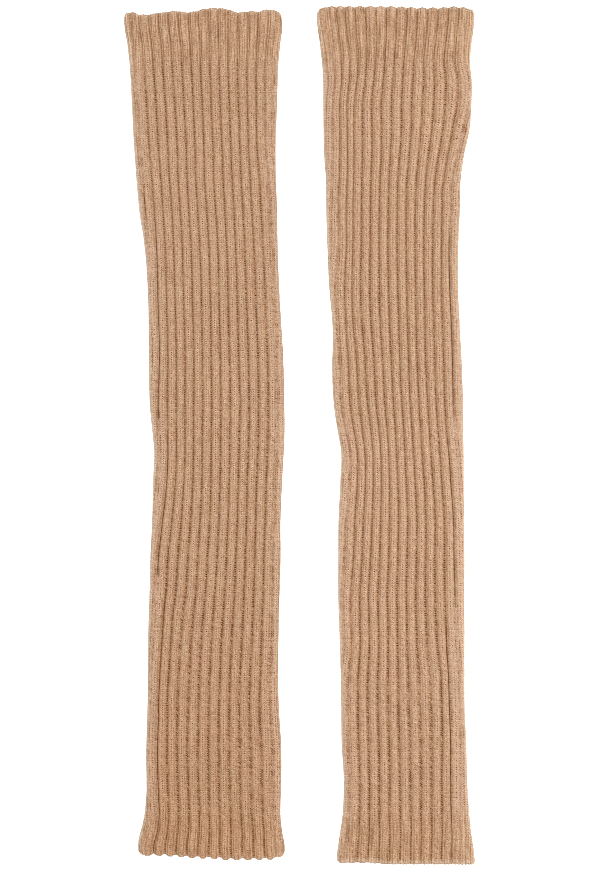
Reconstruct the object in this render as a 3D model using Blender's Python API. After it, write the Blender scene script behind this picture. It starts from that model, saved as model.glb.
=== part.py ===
"""A pair of long arm warmers in fine camel two-by-two rib knit, laid flat side by side.

Each warmer is a knitted tube, pressed flat so that its front layer lies on its back layer: an
upper band at the upper arm, a long sleeve, and a wrist band. All three are one wall that goes
round a thin flat hollow, open at both ends. The ribs are raised on the outside, over a plain
inside, and the underside is flat where it lies.

+Y runs along the warmers towards the upper arm, +X to the right and +Z up. The origin is in the
middle of the pair, on the surface under it. The tables are in millimetres."""

import math
from collections import namedtuple

import bmesh
import bpy

MM = 0.001                          # one millimetre in metres

# The cloth
WALL = 2.3                          # one layer of knit, from its inside to the crown of a rib
LAYER_GAP = 0.6                     # between the insides of the front and back layers
HEIGHT = 2 * WALL + LAYER_GAP       # of the flattened tube
FOLD_RADIUS = HEIGHT / 2            # of the two side folds
GROOVE_DEPTH = 1.1                  # between two ribs
SCALLOP = 0.6                       # how far a rib stands out past a groove at an open edge
SEAM_GAP = 0.3                      # between a band and its sleeve

# Along the warmers, from the middle of the pair
UPPER_BAND_AT = 219.7               # where the sleeve turns into the upper band
WRIST_BAND_AT = -225.0              # where it turns into the wrist band

# Round a warmer: the points of one rib, as its place between two grooves and its share of their depth
RibPoint = namedtuple("RibPoint", "place depth")
RIB = (RibPoint(0.0, 1.0), RibPoint(0.2, 0.15), RibPoint(0.5, 0.0), RibPoint(0.8, 0.15))
UNDERSIDE_POINTS = 12               # on the part of the underside that no rib reaches
RELIEF_FROM, RELIEF_FULL = 0.45, 0.9    # the height, as a share, where ribs start and are full

# One cross-section of a warmer. along: its place. left, right: the side folds. anchor: the place
# of groove 0, near the right fold. pitch: from groove 0 to groove 1, counted leftwards. gather: how
# the ribs crowd together leftwards. crease: the outermost groove on the warmer's outer side, past
# which the knit is opened flat round the fold. nip: how far that groove is pulled inwards.
Section = namedtuple("Section", "along left right anchor pitch gather crease nip")

LEFT_SECTIONS = (
    Section(251.5, -103.3, -10.4, -18.0, 5.95, 0.006, 15, 0),
    Section(244.4, -103.0, -9.7, -18.1, 5.92, 0.006, 15, 0),
    Section(232.0, -101.2, -10.9, -19.0, 5.62, -0.002, 15, 0),
    Section(UPPER_BAND_AT, -100.0, -11.9, -19.9, 5.38, -0.010, 15, 0),
    Section(197.3, -98.8, -12.7, -19.9, 5.24, -0.010, 15, 0),
    Section(169.0, -97.3, -13.6, -19.5, 5.08, -0.015, 15, 0),
    Section(152.0, -96.0, -13.5, -17.9, 5.45, 0.012, 14.5, 0),
    Section(133.7, -94.3, -12.7, -16.8, 5.48, 0.016, 14, 0),
    Section(110.0, -90.9, -12.4, -15.5, 5.50, 0.019, 13, 0),
    Section(80.0, -89.0, -11.2, -14.3, 5.60, 0.025, 13, 0),
    Section(45.0, -88.5, -9.1, -12.7, 5.82, 0.038, 13, 0),
    Section(16.0, -87.8, -8.4, -12.3, 5.76, 0.027, 13, 0),
    Section(4.0, -86.7, -8.3, -12.2, 5.88, 0.038, 12.4, 0),
    Section(-8.0, -85.4, -8.7, -12.5, 5.86, 0.040, 12, 0),
    Section(-26.5, -86.0, -9.7, -13.6, 5.62, 0.023, 12, 0),
    Section(-50.0, -86.6, -10.7, -14.4, 5.44, -0.004, 12, 0.3),
    Section(-74.0, -87.7, -10.7, -15.4, 5.33, -0.027, 12, 0.7),
    Section(-88.0, -88.0, -11.1, -15.6, 5.42, -0.024, 11.4, 0.4),
    Section(-116.0, -88.9, -11.8, -15.8, 5.90, 0, 11, 0.9),
    Section(-158.0, -89.3, -11.8, -17.1, 6.00, 0, 11, 0.9),
    Section(-187.0, -90.1, -10.2, -15.7, 6.42, 0.021, 11, 0.7),
    Section(-213.0, -90.2, -10.5, -15.4, 6.42, 0.026, 11, 0.5),
    Section(WRIST_BAND_AT, -91.3, -10.7, -14.9, 6.42, 0.024, 11, 0.5),
    Section(-235.0, -93.1, -9.8, -14.0, 6.55, 0.020, 11, 0.3),
    Section(-243.0, -94.8, -8.4, -13.7, 6.62, 0.012, 11, 0),
    Section(-250.6, -94.9, -8.2, -13.2, 6.68, 0.010, 11, 0),
)
RIGHT_SECTIONS = (
    Section(252.7, 10.4, 103.3, 88.2, 6.20, 0.018, -4, 0),
    Section(244.4, 10.7, 103.2, 87.9, 6.15, 0.021, -4, 0),
    Section(232.0, 12.1, 101.8, 86.6, 6.05, 0.034, -4, 0),
    Section(UPPER_BAND_AT, 13.4, 100.9, 85.6, 6.22, 0.065, -4, 0),
    Section(209.0, 14.1, 101.9, 86.7, 6.85, 0.114, -4, 0),
    Section(197.3, 14.2, 101.8, 86.4, 6.98, 0.119, -4, 0),
    Section(180.0, 14.3, 100.6, 84.7, 6.43, 0.083, -4, 0),
    Section(163.0, 14.8, 97.1, 82.0, 5.88, 0.056, -4, 0),
    Section(151.4, 15.7, 95.5, 80.3, 5.62, 0.045, -3.5, 0.5),
    Section(133.7, 15.9, 94.9, 79.1, 5.37, 0.027, -3, 0.8),
    Section(112.0, 16.6, 94.0, 78.8, 5.33, 0.025, -2, 1.0),
    Section(88.0, 17.6, 93.8, 78.9, 5.15, -0.004, -2, 0.4),
    Section(60.0, 19.8, 95.1, 79.6, 5.20, 0.003, -2, 0),
    Section(40.0, 19.4, 96.1, 80.1, 5.15, 0.006, -2, 0),
    Section(16.0, 20.6, 96.8, 81.0, 5.03, -0.002, -1.8, 0),
    Section(2.0, 22.8, 96.9, 81.9, 5.06, 0.014, -1.4, 0),
    Section(-9.0, 24.6, 97.1, 82.8, 5.26, 0.041, -1, 0),
    Section(-27.0, 24.2, 97.2, 84.1, 5.34, 0.037, -1, 0),
    Section(-50.0, 23.2, 97.4, 85.7, 5.52, 0.024, -1, 0),
    Section(-74.0, 23.0, 97.6, 85.8, 5.64, 0.025, -1, 0),
    Section(-95.0, 23.0, 97.5, 86.1, 5.84, 0.028, -0.8, 0),
    Section(-111.0, 23.5, 97.6, 86.7, 5.90, 0.030, -0.3, 0.3),
    Section(-125.5, 24.0, 97.6, 88.2, 6.33, 0.062, 0, 1.3),
    Section(-140.0, 24.4, 97.6, 90.2, 6.66, 0.059, 0, 2.3),
    Section(-161.0, 24.7, 97.8, 91.0, 6.74, 0.053, 0, 2.4),
    Section(-182.0, 25.0, 98.7, 91.1, 6.54, 0.035, 0, 1.8),
    Section(-203.0, 26.2, 99.2, 90.6, 6.36, 0.029, 0, 1.1),
    Section(WRIST_BAND_AT, 25.4, 100.6, 90.8, 6.33, 0.021, 0, 0.9),
    Section(-235.0, 24.1, 101.6, 90.8, 6.24, 0.010, 0, 0.5),
    Section(-243.0, 23.0, 102.9, 90.5, 6.15, -0.004, 0, 0.3),
    Section(-252.7, 21.8, 103.3, 90.3, 6.12, -0.008, 0, 0.2),
)

# The long wave of an open edge: how far it falls short of the warmer's end, across the warmer
# from its left fold (0) to its right fold (1).
EdgePoint = namedtuple("EdgePoint", "across short")
LEFT_UPPER_EDGE = (
    EdgePoint(0.00, 4.2), EdgePoint(0.04, 3.0), EdgePoint(0.14, 4.1), EdgePoint(0.30, 1.8),
    EdgePoint(0.53, 0.0), EdgePoint(0.63, 0.0), EdgePoint(0.78, 1.8), EdgePoint(0.93, 1.3),
    EdgePoint(1.00, 4.8),
)
LEFT_WRIST_EDGE = (
    EdgePoint(0.00, 6.5), EdgePoint(0.05, 4.5), EdgePoint(0.14, 2.6), EdgePoint(0.40, 1.2),
    EdgePoint(0.60, 0.0), EdgePoint(0.70, 0.0), EdgePoint(0.93, 2.6), EdgePoint(1.00, 4.2),
)
RIGHT_UPPER_EDGE = (
    EdgePoint(0.00, 5.0), EdgePoint(0.04, 2.4), EdgePoint(0.09, 0.5), EdgePoint(0.50, 0.2),
    EdgePoint(0.93, 0.0), EdgePoint(0.97, 1.8), EdgePoint(1.00, 3.6),
)
RIGHT_WRIST_EDGE = (
    EdgePoint(0.00, 3.0), EdgePoint(0.04, 1.2), EdgePoint(0.20, 1.0), EdgePoint(0.60, 0.3),
    EdgePoint(0.95, 0.0), EdgePoint(1.00, 0.8),
)

Warmer = namedtuple("Warmer", "side sections ribs upper_edge wrist_edge")
WARMERS = (
    Warmer("left", LEFT_SECTIONS, range(-2, 15), LEFT_UPPER_EDGE, LEFT_WRIST_EDGE),
    Warmer("right", RIGHT_SECTIONS, range(-4, 14), RIGHT_UPPER_EDGE, RIGHT_WRIST_EDGE),
)

# The knit's finish
KNIT_COLOUR = (0.49, 0.29, 0.175, 1.0)
KNIT_ROUGHNESS = 0.9


def clamp(value):
    return min(max(value, 0.0), 1.0)


def smooth(value):
    """A soft step from 0 to 1."""
    value = clamp(value)
    return value * value * (3 - 2 * value)


def flattened_tube(section, run):
    """The point (x, z) and outward normal of the plain flattened tube, run leftwards from groove 0."""
    top = section.anchor - (section.left + FOLD_RADIUS)
    flat = section.right - section.left - 2 * FOLD_RADIUS
    fold = math.pi * FOLD_RADIUS
    run %= 2 * (flat + fold)
    if run <= top:
        return (section.anchor - run, HEIGHT), (0.0, 1.0)
    run -= top
    if run <= fold:
        turn = run / FOLD_RADIUS
        normal = (-math.sin(turn), math.cos(turn))
        return (section.left + FOLD_RADIUS * (1 + normal[0]), FOLD_RADIUS * (1 + normal[1])), normal
    run -= fold
    if run <= flat:
        return (section.left + FOLD_RADIUS + run, 0.0), (0.0, -1.0)
    run -= flat
    if run <= fold:
        turn = run / FOLD_RADIUS
        normal = (math.sin(turn), -math.cos(turn))
        return (section.right + FOLD_RADIUS * (normal[0] - 1), FOLD_RADIUS * (1 + normal[1])), normal
    run -= fold
    return (section.right - FOLD_RADIUS - run, HEIGHT), (0.0, 1.0)


def run_at(warmer, section, ribs):
    """How far round the tube a place lies that is this many ribs leftwards from groove 0."""
    run = ribs * (section.pitch - section.gather * ribs)
    if warmer.side == "left":
        return run - section.nip * clamp(ribs - section.crease + 1)
    return run + section.nip * clamp(section.crease + 1 - ribs)


def around(warmer, section):
    """Each column round the tube as (run, groove depth from 0 to 1): the ribs, then the rest."""
    columns = []
    for rib in warmer.ribs:
        for point in RIB:
            groove = rib if point.place < 0.5 else rib + 1
            past = groove - section.crease if warmer.side == "left" else section.crease - groove
            columns.append((run_at(warmer, section, rib + point.place), point.depth * clamp(1 - past)))
    flat = section.right - section.left - 2 * FOLD_RADIUS
    perimeter = 2 * (flat + math.pi * FOLD_RADIUS)
    start = run_at(warmer, section, warmer.ribs.stop)
    end = perimeter + run_at(warmer, section, warmer.ribs.start)
    for step in range(UNDERSIDE_POINTS):
        columns.append((start + (end - start) * step / UNDERSIDE_POINTS, 0.0))
    return columns


def edge_short(edge, across):
    """How far an open edge falls short of the warmer's end, at a place across it."""
    across = clamp(across)
    for low, high in zip(edge, edge[1:]):
        if across <= high.across:
            share = (across - low.across) / (high.across - low.across)
            return low.short + (high.short - low.short) * smooth(share)
    return edge[-1].short


def ring(warmer, section, along):
    """The outer and inner points of the wall at one section, in metres."""
    upper = along > UPPER_BAND_AT
    band_at = UPPER_BAND_AT if upper else WRIST_BAND_AT
    end_at = warmer.sections[0].along if upper else warmer.sections[-1].along
    edge = warmer.upper_edge if upper else warmer.wrist_edge
    to_end = clamp((along - band_at) / (end_at - band_at))
    inwards = -1 if upper else 1
    at_end = 1 if to_end == 1 else 0
    outer, inner = [], []
    for index, (run, depth) in enumerate(around(warmer, section)):
        (x, z), (out_x, out_z) = flattened_tube(section, run)
        share = (z / HEIGHT - RELIEF_FROM) / (RELIEF_FULL - RELIEF_FROM)
        relief = depth * smooth(share)
        across = (x - section.left) / (section.right - section.left)
        short = to_end * edge_short(edge, across)
        y = along + inwards * (short + at_end * SCALLOP * relief)
        sunk = GROOVE_DEPTH * relief
        outer.append((MM * (x - out_x * sunk), MM * y, MM * (z - out_z * sunk)))
        if index % len(RIB) == 0:
            y = along + inwards * short
            inner.append((MM * (x - out_x * WALL), MM * y, MM * (z - out_z * WALL)))
    return outer, inner


def tube(name, rings, material):
    """One closed wall through the rings, with a rim at each end."""
    mesh = bpy.data.meshes.new(name)
    bm = bmesh.new()
    outer = [[bm.verts.new(point) for point in outside] for outside, inside in rings]
    inner = [[bm.verts.new(point) for point in inside] for outside, inside in rings]
    for loops in (outer, inner):
        for low, high in zip(loops, loops[1:]):
            for i in range(len(low)):
                bm.faces.new((low[i - 1], low[i], high[i], high[i - 1]))
    per_inner = len(RIB)
    for outside, inside in ((outer[0], inner[0]), (outer[-1], inner[-1])):
        for i in range(len(inside)):
            last = i + 1 if i + 1 < len(inside) else 0
            stretch = outside[i * per_inner:(i + 1) * per_inner + 1]
            if last == 0:
                stretch.append(outside[0])
            bm.faces.new(stretch + [inside[last], inside[i]])
    bmesh.ops.recalc_face_normals(bm, faces=bm.faces)
    if bm.calc_volume(signed=True) < 0:
        bmesh.ops.reverse_faces(bm, faces=bm.faces)
    bm.to_mesh(mesh)
    bm.free()
    mesh.materials.append(material)
    mesh.shade_smooth()
    mesh.set_sharp_from_angle(angle=math.radians(60))
    piece = bpy.data.objects.new(name, mesh)
    bpy.context.scene.collection.objects.link(piece)
    return piece


def knit_material():
    material = bpy.data.materials.new("camel_knit")
    material.use_nodes = True
    shader = material.node_tree.nodes["Principled BSDF"]
    shader.inputs["Base Color"].default_value = KNIT_COLOUR
    shader.inputs["Roughness"].default_value = KNIT_ROUGHNESS
    shader.inputs["Metallic"].default_value = 0.0
    return material


def stretch_rings(warmer, high, low):
    """The rings from one place along the warmer down to another, both of them sections."""
    rings = []
    for section in warmer.sections:
        if low <= section.along <= high:
            along = section.along
            if along in (UPPER_BAND_AT, WRIST_BAND_AT):
                along += SEAM_GAP / 2 * (1 if along == low else -1)
            rings.append(ring(warmer, section, along))
    return rings


def build_warmer(warmer, material):
    ends = warmer.sections[0].along, warmer.sections[-1].along
    for name, high, low in (
        ("upper_band", ends[0], UPPER_BAND_AT),
        ("sleeve", UPPER_BAND_AT, WRIST_BAND_AT),
        ("wrist_band", WRIST_BAND_AT, ends[1]),
    ):
        tube(f"{warmer.side}_{name}", stretch_rings(warmer, high, low), material)


for old in list(bpy.data.objects):
    bpy.data.objects.remove(old)
knit = knit_material()
for pair_half in WARMERS:
    build_warmer(pair_half, knit)
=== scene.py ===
# %% [markdown]
# # A pair of long arm warmers, laid flat
#
# Each warmer is one knitted tube in a fine camel two-by-two rib: two columns of stitches stand up,
# two sink back, all the way round. It lies pressed flat on a pale table, and the pair is seen from
# straight above. The CAD model holds the warmers' sizes, their folds and their rib lines. This
# script dresses them in real stitches, and gives them their yarn, the light and the camera.

# %% Load the frame
import math
from collections import namedtuple

import bpy
import numpy as np
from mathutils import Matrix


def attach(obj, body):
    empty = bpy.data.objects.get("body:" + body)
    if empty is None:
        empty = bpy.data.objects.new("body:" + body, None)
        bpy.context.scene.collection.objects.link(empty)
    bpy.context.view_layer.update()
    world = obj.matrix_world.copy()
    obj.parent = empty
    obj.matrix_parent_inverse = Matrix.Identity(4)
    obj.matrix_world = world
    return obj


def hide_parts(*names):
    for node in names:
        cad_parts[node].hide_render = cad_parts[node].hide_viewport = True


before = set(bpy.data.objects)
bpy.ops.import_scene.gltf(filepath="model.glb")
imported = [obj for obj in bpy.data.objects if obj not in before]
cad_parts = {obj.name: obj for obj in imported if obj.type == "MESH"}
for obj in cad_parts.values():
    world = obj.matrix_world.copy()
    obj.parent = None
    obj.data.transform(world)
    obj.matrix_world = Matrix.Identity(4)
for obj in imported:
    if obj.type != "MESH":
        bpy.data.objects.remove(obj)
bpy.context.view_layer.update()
MM = 0.001
print("nodes:", sorted(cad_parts))


def put_in_scene(name, data):
    """A new object that shows the camera, lamp or mesh it is given."""
    thing = bpy.data.objects.new(name, data)
    bpy.context.scene.collection.objects.link(thing)
    return thing


# %% [markdown]
# ## The camera
#
# The photograph was taken from straight above, from far away, so that neither warmer leans. A wide
# lens close by would show the side of the folds. A long lens on a camera three metres up keeps the
# view almost parallel, and still works like a real camera. The view's height is 870 pixels of the
# knit's scale, which is 0.589 mm to a pixel.

# %% Point the camera
PIXEL = 0.589 * MM
FRAME_WIDTH, FRAME_HEIGHT = 600, 870
CAMERA_HEIGHT = 3.0
SENSOR = 36.0
VIEW_MIDDLE = (1.0 * PIXEL, 0.0)
CLOTH_MIDDLE = 3 * MM               # the height at which the view has its scale

camera_data = bpy.data.cameras.new("camera")
camera_data.sensor_fit = "VERTICAL"
camera_data.sensor_height = SENSOR
camera_data.lens = SENSOR * CAMERA_HEIGHT / (FRAME_HEIGHT * PIXEL)
camera_data.clip_end = 20
camera = put_in_scene("camera", camera_data)
camera.location = (*VIEW_MIDDLE, CAMERA_HEIGHT + CLOTH_MIDDLE)
bpy.context.scene.camera = camera
print(f"lens {camera_data.lens:.0f} mm")
print(f"view {FRAME_WIDTH * PIXEL:.3f} x {FRAME_HEIGHT * PIXEL:.3f} m")

# %% [markdown]
# ## The table and the light
#
# The studio used a white table and soft light from above, so bright that the table's white has no
# shade left in it. A sun would draw a hard shadow beside each fold. One large soft box over the
# table does the opposite, and light that the white walls send back fills the grooves. The table
# glows a little, as a light table does, and takes away the last of the shadow beside the cloth.

# %% Lay the table
TABLE_HALF = 2.0                    # half the side of the square table, in metres
TABLE_WHITE = (0.92, 0.92, 0.92, 1)
TABLE_ROUGHNESS = 0.8
TABLE_GLOW = 0.8
TABLE_BELOW = 0.2 * MM              # keeps the table clear of the underside of the cloth

table_top = bpy.data.meshes.new("table")
corners = [(x * TABLE_HALF, y * TABLE_HALF, 0) for x, y in ((-1, -1), (1, -1), (1, 1), (-1, 1))]
table_top.from_pydata(corners, [], [(0, 1, 2, 3)])
table = put_in_scene("table", table_top)
table.location.z = -TABLE_BELOW
table_finish = bpy.data.materials.new("white table")
table_finish.use_nodes = True
table_shader = table_finish.node_tree.nodes["Principled BSDF"]
table_shader.inputs["Base Color"].default_value = TABLE_WHITE
table_shader.inputs["Roughness"].default_value = TABLE_ROUGHNESS
table_shader.inputs["Emission Color"].default_value = (1, 1, 1, 1)
table_shader.inputs["Emission Strength"].default_value = TABLE_GLOW
table_top.materials.append(table_finish)

# %% [markdown]
# The lamps are a little cool and the room is a little warm. So what the lamps reach is paler, and
# the grooves, which the room fills, are warmer.

# %% Hang the lights
LAMP_COLOUR = (0.98, 1.0, 1.02)
ROOM_COLOUR, ROOM_STRENGTH = (1.02, 1.0, 0.975, 1), 0.30


def soft_box(name, place, tilt, size, watts):
    """A square lamp that points down, but for a tilt in degrees about the y axis."""
    data = bpy.data.lights.new(name, "AREA")
    data.shape = "SQUARE"
    data.color = LAMP_COLOUR
    data.size = size
    data.energy = watts
    lamp = put_in_scene(name, data)
    lamp.location = place
    lamp.rotation_euler = (0, math.radians(tilt), 0)


soft_box("top soft box", (0.45, 0.05, 2.4), 10, 1.3, 50)
soft_box("side soft box", (1.5, 0.0, 1.5), 45, 0.8, 6)

room = bpy.data.worlds.new("white room")
room.use_nodes = True
room.node_tree.nodes["Background"].inputs["Color"].default_value = ROOM_COLOUR
room.node_tree.nodes["Background"].inputs["Strength"].default_value = ROOM_STRENGTH
bpy.context.scene.world = room
bpy.context.scene.view_settings.view_transform = "Standard"

# %% [markdown]
# The photograph is crisp: a row of stitches is little more than two of its pixels, and each row
# still shows. A wide pixel filter, or a denoiser that smooths its guides first, would blur that
# away, so the filter is narrow and the denoiser takes its guides as they are.

# %% Keep the picture crisp
bpy.context.scene.cycles.filter_width = 1.0
bpy.context.scene.cycles.denoising_prefilter = "NONE"

# %% [markdown]
# ## The shape of a warmer
#
# A warmer isn't cut from a pattern: it is knitted round and round, and its width changes because
# the cloth is eased and stretched as it is laid out. So its shape is a table of cross-sections
# along its length. Each row says where the two side folds are and where the grooves between the
# ribs run. Groove 0 is near the right fold, and the others follow it to the left, at a spacing that
# changes a little across the cloth. The CAD model was made from the same tables, but for the right
# warmer's last corner, which lies 0.7 mm further out here.

# %% The cross-sections
# along: the place. left, right: the side folds. anchor: groove 0. pitch: from groove 0 to groove 1.
# gather: how the ribs crowd together leftwards. crease: the outermost groove on the outer side,
# past which the knit is opened flat round the fold. nip: how far that groove is pulled inwards.
Section = namedtuple("Section", "along left right anchor pitch gather crease nip")
UPPER_BAND_AT = 219.7               # where the sleeve turns into the upper band
WRIST_BAND_AT = -225.0              # where it turns into the wrist band

LEFT_SECTIONS = (
    Section(251.5, -103.3, -10.4, -18.0, 5.95, 0.006, 15, 0),
    Section(244.4, -103.0, -9.7, -18.1, 5.92, 0.006, 15, 0),
    Section(232.0, -101.2, -10.9, -19.0, 5.62, -0.002, 15, 0),
    Section(UPPER_BAND_AT, -100.0, -11.9, -19.9, 5.38, -0.010, 15, 0),
    Section(197.3, -98.8, -12.7, -19.9, 5.24, -0.010, 15, 0),
    Section(169.0, -97.3, -13.6, -19.5, 5.08, -0.015, 15, 0),
    Section(152.0, -96.0, -13.5, -17.9, 5.45, 0.012, 14.5, 0),
    Section(133.7, -94.3, -12.7, -16.8, 5.48, 0.016, 14, 0),
    Section(110.0, -90.9, -12.4, -15.5, 5.50, 0.019, 13, 0),
    Section(80.0, -89.0, -11.2, -14.3, 5.60, 0.025, 13, 0),
    Section(45.0, -88.5, -9.1, -12.7, 5.82, 0.038, 13, 0),
    Section(16.0, -87.8, -8.4, -12.3, 5.76, 0.027, 13, 0),
    Section(4.0, -86.7, -8.3, -12.2, 5.88, 0.038, 12.4, 0),
    Section(-8.0, -85.4, -8.7, -12.5, 5.86, 0.040, 12, 0),
    Section(-26.5, -86.0, -9.7, -13.6, 5.62, 0.023, 12, 0),
    Section(-50.0, -86.6, -10.7, -14.4, 5.44, -0.004, 12, 0.3),
    Section(-74.0, -87.7, -10.7, -15.4, 5.33, -0.027, 12, 0.7),
    Section(-88.0, -88.0, -11.1, -15.6, 5.42, -0.024, 11.4, 0.4),
    Section(-116.0, -88.9, -11.8, -15.8, 5.90, 0, 11, 0.9),
    Section(-158.0, -89.3, -11.8, -17.1, 6.00, 0, 11, 0.9),
    Section(-187.0, -90.1, -10.2, -15.7, 6.42, 0.021, 11, 0.7),
    Section(-213.0, -90.2, -10.5, -15.4, 6.42, 0.026, 11, 0.5),
    Section(WRIST_BAND_AT, -91.3, -10.7, -14.9, 6.42, 0.024, 11, 0.5),
    Section(-235.0, -93.1, -9.8, -14.0, 6.55, 0.020, 11, 0.3),
    Section(-243.0, -94.8, -8.4, -13.7, 6.62, 0.012, 11, 0),
    Section(-250.6, -94.9, -8.2, -13.2, 6.68, 0.010, 11, 0),
)
RIGHT_SECTIONS = (
    Section(252.7, 10.4, 103.3, 88.2, 6.20, 0.018, -4, 0),
    Section(244.4, 10.7, 103.2, 87.9, 6.15, 0.021, -4, 0),
    Section(232.0, 12.1, 101.8, 86.6, 6.05, 0.034, -4, 0),
    Section(UPPER_BAND_AT, 13.4, 100.9, 85.6, 6.22, 0.065, -4, 0),
    Section(209.0, 14.1, 101.9, 86.7, 6.85, 0.114, -4, 0),
    Section(197.3, 14.2, 101.8, 86.4, 6.98, 0.119, -4, 0),
    Section(180.0, 14.3, 100.6, 84.7, 6.43, 0.083, -4, 0),
    Section(163.0, 14.8, 97.1, 82.0, 5.88, 0.056, -4, 0),
    Section(151.4, 15.7, 95.5, 80.3, 5.62, 0.045, -3.5, 0.5),
    Section(133.7, 15.9, 94.9, 79.1, 5.37, 0.027, -3, 0.8),
    Section(112.0, 16.6, 94.0, 78.8, 5.33, 0.025, -2, 1.0),
    Section(88.0, 17.6, 93.8, 78.9, 5.15, -0.004, -2, 0.4),
    Section(60.0, 19.8, 95.1, 79.6, 5.20, 0.003, -2, 0),
    Section(40.0, 19.4, 96.1, 80.1, 5.15, 0.006, -2, 0),
    Section(16.0, 20.6, 96.8, 81.0, 5.03, -0.002, -1.8, 0),
    Section(2.0, 22.8, 96.9, 81.9, 5.06, 0.014, -1.4, 0),
    Section(-9.0, 24.6, 97.1, 82.8, 5.26, 0.041, -1, 0),
    Section(-27.0, 24.2, 97.2, 84.1, 5.34, 0.037, -1, 0),
    Section(-50.0, 23.2, 97.4, 85.7, 5.52, 0.024, -1, 0),
    Section(-74.0, 23.0, 97.6, 85.8, 5.64, 0.025, -1, 0),
    Section(-95.0, 23.0, 97.5, 86.1, 5.84, 0.028, -0.8, 0),
    Section(-111.0, 23.5, 97.6, 86.7, 5.90, 0.030, -0.3, 0.3),
    Section(-125.5, 24.0, 97.6, 88.2, 6.33, 0.062, 0, 1.3),
    Section(-140.0, 24.4, 97.6, 90.2, 6.66, 0.059, 0, 2.3),
    Section(-161.0, 24.7, 97.8, 91.0, 6.74, 0.053, 0, 2.4),
    Section(-182.0, 25.0, 98.7, 91.1, 6.54, 0.035, 0, 1.8),
    Section(-203.0, 26.2, 99.2, 90.6, 6.36, 0.029, 0, 1.1),
    Section(WRIST_BAND_AT, 25.4, 100.6, 90.8, 6.33, 0.021, 0, 0.9),
    Section(-235.0, 24.1, 101.6, 90.8, 6.24, 0.010, 0, 0.5),
    Section(-243.0, 23.0, 102.9, 90.5, 6.15, -0.004, 0, 0.3),
    Section(-252.7, 21.8, 104.0, 90.3, 6.12, -0.008, 0, 0.2),
)

# %% [markdown]
# The open edges aren't straight either. Each one is a long wave, because the loose knit there was
# laid down by hand. The wave is a second, short table: the place across, from 0 at the left fold
# to 1 at the right fold, and how far the edge falls short of the warmer's end there.

# %% The open edges
LEFT_UPPER_EDGE = (
    (0.00, 3.9), (0.015, 2.9), (0.06, 2.4), (0.10, 3.8), (0.15, 3.9), (0.24, 2.6), (0.33, 1.7),
    (0.41, 2.5), (0.46, 1.9), (0.50, 0.6), (0.55, 0.0), (0.61, 0.0), (0.64, 0.3), (0.73, 2.5),
    (0.81, 1.8), (0.86, 2.1), (0.90, 0.8), (0.95, 1.2), (0.99, 2.4), (1.00, 3.2),
)
LEFT_WRIST_EDGE = (
    (0.00, 5.0), (0.015, 4.0), (0.06, 2.7), (0.11, 2.8), (0.20, 2.3), (0.30, 1.8), (0.35, 1.2),
    (0.54, 0.7), (0.60, 0.0), (0.73, 0.0), (0.90, 0.3), (0.965, 1.8), (1.00, 3.4),
)
RIGHT_UPPER_EDGE = (
    (0.00, 3.2), (0.02, 1.6), (0.07, 0.3), (0.11, 0.0), (0.47, 0.0), (0.55, 0.4), (0.66, 0.8),
    (0.78, 0.8), (0.87, 0.2), (0.92, 0.6), (0.98, 2.0), (1.00, 2.6),
)
RIGHT_WRIST_EDGE = (
    (0.00, 2.0), (0.03, 0.6), (0.20, 0.7), (0.38, -0.2), (0.97, -0.2), (1.00, 0.1),
)

# ribs: those that the front and the folds show. under_ribs: how many the back has.
# scallops: how far a rib stands out past a groove, at the upper edge and at the wrist.
# finish: how flat and pale the last rows are where the wrist is finished off.
Warmer = namedtuple("Warmer", "side sections ribs under_ribs upper_edge wrist_edge scallops finish")
LEFT = Warmer(
    "left", LEFT_SECTIONS, range(-2, 15), 13, LEFT_UPPER_EDGE, LEFT_WRIST_EDGE, (0.3, 1.5), 0.0
)
RIGHT = Warmer(
    "right", RIGHT_SECTIONS, range(-4, 14), 12, RIGHT_UPPER_EDGE, RIGHT_WRIST_EDGE, (0.9, 0.35), 1.0
)

# %% [markdown]
# Between two rows of a table the folds and grooves follow smooth curves. Straight lines would show
# a corner at each row, which soft cloth never has. A cubic curve through the rows keeps both the
# place and the slope at each of them.


# %% Smooth curves between the sections
def clamp(value):
    return np.clip(value, 0.0, 1.0)


def smooth(value):
    """A soft step from 0 to 1."""
    value = clamp(value)
    return value * value * (3 - 2 * value)


def between(first, second, share):
    """From the first value at share 0 to the second at share 1."""
    return first + (second - first) * share


def near(section, place, reach, hold=1.0):
    """From 1 at a place down to 0 at its reach along the warmer; a larger hold keeps 1 longer."""
    return smooth(hold * (1 - np.abs(section.along - place) / reach))


def sections_at(table, along):
    """The columns of a table at any places along the warmer, each as an array of its own."""
    rows = np.array(sorted(table), dtype=float)
    places, fields = rows[:, 0], rows[:, 1:]
    slopes = np.gradient(fields, places, axis=0)
    low = np.clip(np.searchsorted(places, along) - 1, 0, len(places) - 2)
    length = (places[low + 1] - places[low])[:, None]
    share = (along[:, None] - places[low][:, None]) / length
    from_low = 2 * share**3 - 3 * share**2 + 1
    values = (
        from_low * fields[low]
        + (1 - from_low) * fields[low + 1]
        + (share**3 - 2 * share**2 + share) * length * slopes[low]
        + (share**3 - share**2) * length * slopes[low + 1]
    )
    return Section(along[:, None], *(values[:, [i]] for i in range(values.shape[1])))


# %% [markdown]
# ## Pressed flat: the tube's cross-section
#
# Pressed flat, the tube is two flat layers joined by a round fold at each side. Every place on it
# is known by how far round the tube it is, leftwards from groove 0: over the top, down the left
# fold, back under, and up the right fold. So one rib can start on the front and end on the back.

# %% Fold the tube
HEIGHT = 5.2
FOLD_RADIUS = HEIGHT / 2


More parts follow.
